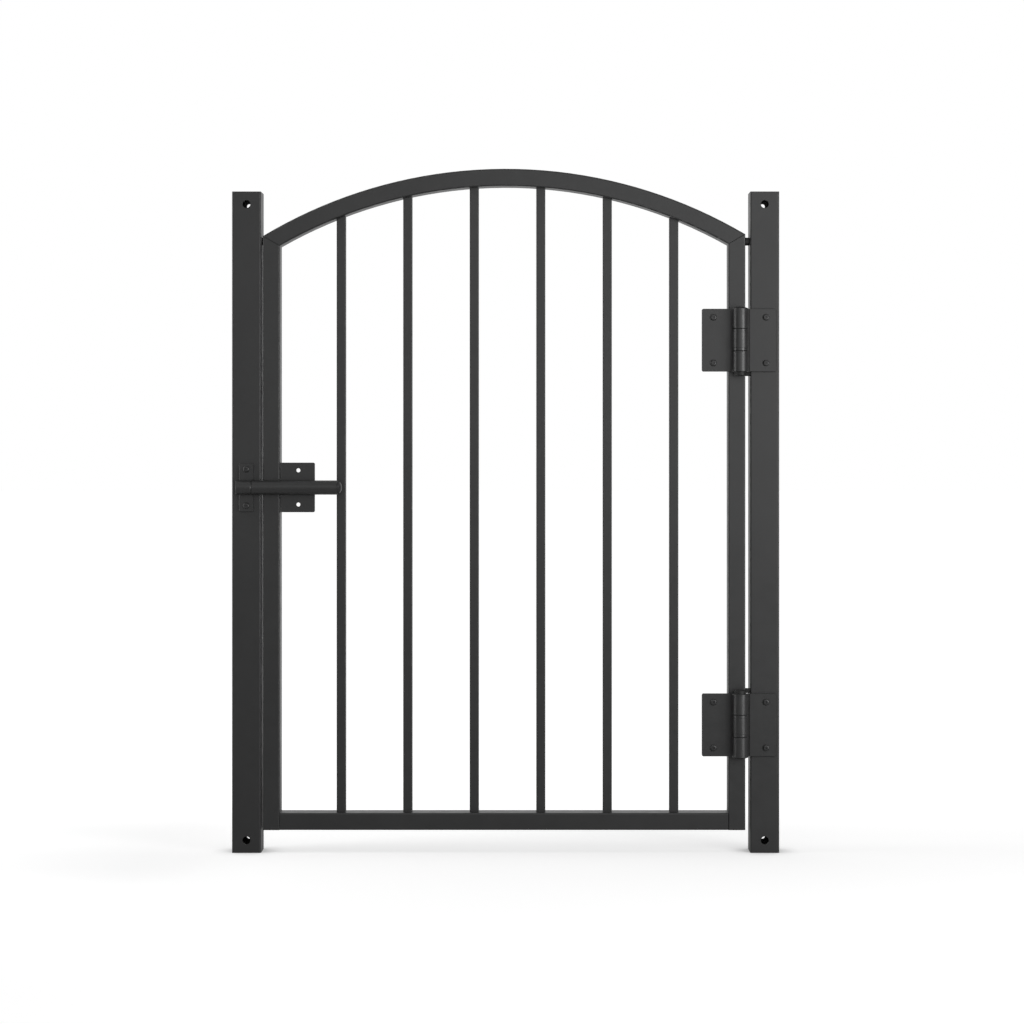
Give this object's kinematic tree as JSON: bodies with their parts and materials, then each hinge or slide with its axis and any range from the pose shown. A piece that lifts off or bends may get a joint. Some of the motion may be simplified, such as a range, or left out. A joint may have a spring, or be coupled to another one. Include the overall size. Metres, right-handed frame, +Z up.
{
  "type": "fence gate",
  "caption": "Arched steel garden gate with upright bars, hung between two square posts on barrel hinges, with a sliding barrel bolt and its keeper.",
  "frame": {"origin": "middle of the gateway at ground level, half way through the depth from the hinge barrels to the backs of the posts", "axes": "+X from the latch post to the hinge post, +Y from the front with the hinges and bolt to the back, +Z up"},
  "size_m": [0.96, 0.0822, 1.2],
  "materials": {
    "gate_paint": "satin powder coat, charcoal",
    "fitting_paint": "satin powder coat, charcoal",
    "bolt_steel": "black-oxide, satin",
    "fastener_steel": "black zinc, satin",
    "black_plastic": "matte black",
    "buffer_rubber": "matte black"
  },
  "bodies": {
    "posts": {"latch_post": "gate_paint", "hinge_post": "gate_paint", "latch_post_cap": "gate_paint", "hinge_post_cap": "gate_paint", "latch_post_foot": "gate_paint", "hinge_post_foot": "gate_paint", "upper_hinge_post_leaf": "fitting_paint", "lower_hinge_post_leaf": "fitting_paint", "upper_hinge_pin": "fitting_paint", "lower_hinge_pin": "fitting_paint", "upper_hinge_pin_cap": "black_plastic", "lower_hinge_pin_cap": "black_plastic", "upper_hinge_washers": "fastener_steel", "lower_hinge_washers": "fastener_steel", "hinge_post_screws": "fastener_steel", "keeper": "fitting_paint", "keeper_screws": "fastener_steel", "post_rivet_nuts": "fastener_steel", "hinge_gap_pads": "buffer_rubber"},
    "leaf": {"latch_stile": "gate_paint", "hinge_stile": "gate_paint", "arched_top_rail": "gate_paint", "bottom_rail": "gate_paint", "bar_1": "gate_paint", "bar_2": "gate_paint", "bar_3": "gate_paint", "bar_4": "gate_paint", "bar_5": "gate_paint", "bar_6": "gate_paint", "latch_stile_plug": "black_plastic", "hinge_stile_plug": "black_plastic", "upper_hinge_gate_leaf": "fitting_paint", "lower_hinge_gate_leaf": "fitting_paint", "upper_hinge_tab": "gate_paint", "lower_hinge_tab": "gate_paint", "hinge_gate_screws": "fastener_steel", "latch_plate": "fitting_paint", "bolt_guide_tube": "fitting_paint", "latch_side_buffer": "buffer_rubber", "hinge_side_buffer": "buffer_rubber"},
    "bolt": {"bolt_rod": "bolt_steel", "bolt_handle": "bolt_steel"}
  },
  "joints": [
    {"name": "gate_swing", "type": "hinge", "parent": "posts", "child": "leaf", "pos_m": [0.4101, -0.02715, 0.562], "axis": [0, 0, 1], "range_deg": [0, 180]},
    {"name": "bolt_slide", "type": "slide", "parent": "leaf", "child": "bolt", "axis": [-1, 0, 0], "range_m": [0, 0.02]}
  ]
}
